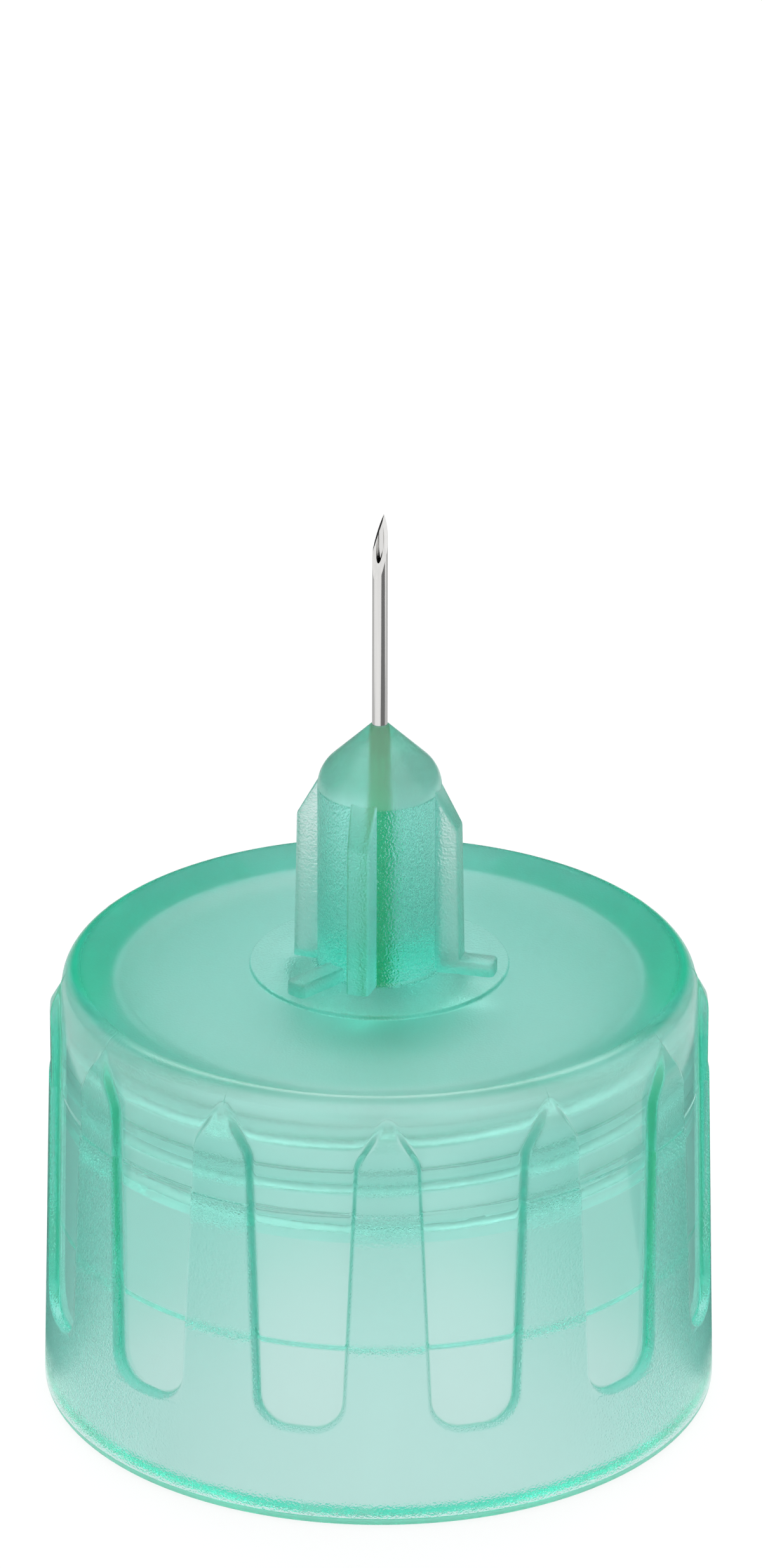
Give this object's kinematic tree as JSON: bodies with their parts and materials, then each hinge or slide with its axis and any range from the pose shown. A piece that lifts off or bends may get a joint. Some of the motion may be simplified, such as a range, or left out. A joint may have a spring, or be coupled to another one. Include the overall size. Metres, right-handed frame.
{
  "type": "pen needle",
  "caption": "Pen needle: a tinted translucent screw-on hub with grip ribs, a stepped socket and a cross-ribbed tower that holds a fine steel tube, sharp at both ends.",
  "frame": {"origin": "centre of the hub's lower rim, on the plane of its underside", "axes": "+Z along the steel tube towards its upper point; -Y is the side that faces the camera in the picture"},
  "size_m": [0.0122, 0.0122, 0.0169],
  "materials": {
    "hub": "translucent tinted polypropylene, smooth between the ribs and finely frosted on the skirt",
    "needle_tube": "drawn and electropolished stainless steel tube",
    "adhesive": "clear cured acrylate adhesive"
  },
  "bodies": {
    "root": {"hub": "hub", "needle_tube": "needle_tube", "adhesive": "adhesive"}
  },
  "joints": []
}
